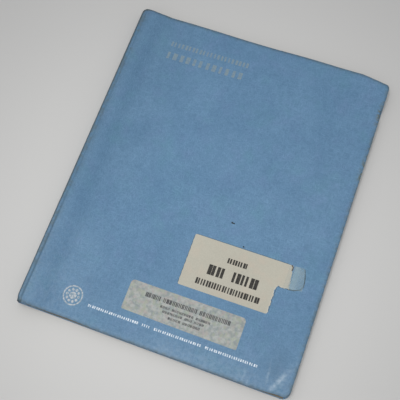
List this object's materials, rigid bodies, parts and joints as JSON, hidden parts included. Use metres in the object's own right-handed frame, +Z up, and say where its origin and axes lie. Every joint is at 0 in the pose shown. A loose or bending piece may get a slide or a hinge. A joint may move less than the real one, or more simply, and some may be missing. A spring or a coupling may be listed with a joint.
{
  "type": "instruction manual",
  "caption": "Comb-bound instruction manual in a wrap-around blue pressboard cover with labels; the cover creases, the leaves turn and a sheet folds out.",
  "frame": {"origin": "middle of the closed manual's outline, at the table", "axes": "+Z up from the table, +X from the spine to the fore-edge, +Y from the tail to the head"},
  "size_m": [0.228, 0.2804, 0.0142],
  "materials": {
    "pressboard": "matt fibrous pressboard, light blue, sealed surface",
    "end_board": "matt grey-buff board",
    "comb_plastic": "satin black plastic",
    "leaves": "uncoated book paper",
    "foldout_paper": "heavy drafting paper",
    "flyleaf_paper": "heavy toned paper",
    "label_paper": "aged cream paper",
    "clear_tape": "clear film tape",
    "metallised_sticker": "dull metallised film",
    "dull_foil": "worn grey foil",
    "bright_foil": "bright foil"
  },
  "bodies": {
    "back": {"back_cover": "pressboard", "end_board": "end_board", "binding_comb": "comb_plastic", "parts_list_leaves": "leaves"},
    "spine": {"spine_cover": "pressboard"},
    "front": {"front_cover": "pressboard", "type_label": "label_paper", "label_tape": "clear_tape", "property_sticker": "metallised_sticker", "heading_foil_upper": "dull_foil", "heading_foil_lower": "dull_foil", "footer_foil": "bright_foil", "ornament_foil": "bright_foil"},
    "flyleaf_body": {"flyleaf": "flyleaf_paper"},
    "contents_body": {"contents_leaves": "leaves", "title_leaf": "leaves"},
    "operating_body": {"operating_leaves": "leaves"},
    "circuit_body": {"circuit_leaves": "leaves"},
    "foldout_body": {"foldout_leaf": "foldout_paper"},
    "foldout_panel_body": {"foldout_panel": "foldout_paper"},
    "maintenance_body": {"maintenance_leaves": "leaves"}
  },
  "joints": [
    {"name": "spine_crease", "type": "hinge", "parent": "back", "child": "spine", "pos_m": [-0.114, 0, 0], "axis": [0, -1, 0], "range_deg": [0, 90]},
    {"name": "front_crease", "type": "hinge", "parent": "spine", "child": "front", "pos_m": [-0.10872, 0, 0.014], "axis": [0, -1, 0], "range_deg": [0, 93.01]},
    {"name": "flyleaf_turn", "type": "hinge", "parent": "back", "child": "flyleaf_body", "pos_m": [-0.10688, 0, 0.00712], "axis": [0, -1, 0], "range_deg": [0, 175.01]},
    {"name": "contents_turn", "type": "hinge", "parent": "back", "child": "contents_body", "pos_m": [-0.10688, 0, 0.00712], "axis": [0, -1, 0], "range_deg": [0, 173.01]},
    {"name": "operating_turn", "type": "hinge", "parent": "back", "child": "operating_body", "pos_m": [-0.10688, 0, 0.00712], "axis": [0, -1, 0], "range_deg": [0, 169.01]},
    {"name": "circuit_turn", "type": "hinge", "parent": "back", "child": "circuit_body", "pos_m": [-0.10688, 0, 0.00712], "axis": [0, -1, 0], "range_deg": [0, 165.01]},
    {"name": "foldout_turn", "type": "hinge", "parent": "back", "child": "foldout_body", "pos_m": [-0.10688, 0, 0.00712], "axis": [0, -1, 0], "range_deg": [0, 3.01]},
    {"name": "maintenance_turn", "type": "hinge", "parent": "back", "child": "maintenance_body", "pos_m": [-0.10688, 0, 0.00712], "axis": [0, -1, 0], "range_deg": [0, 1.51]},
    {"name": "foldout_unfold", "type": "hinge", "parent": "foldout_body", "child": "foldout_panel_body", "pos_m": [0.1095, 0, 0.00375], "axis": [0, 1, 0], "range_deg": [0, 176.01]}
  ],
  "couplings": [
    {"joint": "front_crease", "follows": "spine_crease", "ratio": 1.0333},
    {"joint": "flyleaf_turn", "follows": "spine_crease", "ratio": 1.9444},
    {"joint": "contents_turn", "follows": "spine_crease", "ratio": 1.9222},
    {"joint": "operating_turn", "follows": "spine_crease", "ratio": 1.8778},
    {"joint": "circuit_turn", "follows": "spine_crease", "ratio": 1.8333},
    {"joint": "foldout_turn", "follows": "spine_crease", "ratio": 0.033333},
    {"joint": "maintenance_turn", "follows": "spine_crease", "ratio": 0.016667},
    {"joint": "foldout_unfold", "follows": "spine_crease", "ratio": 1.9556}
  ]
}
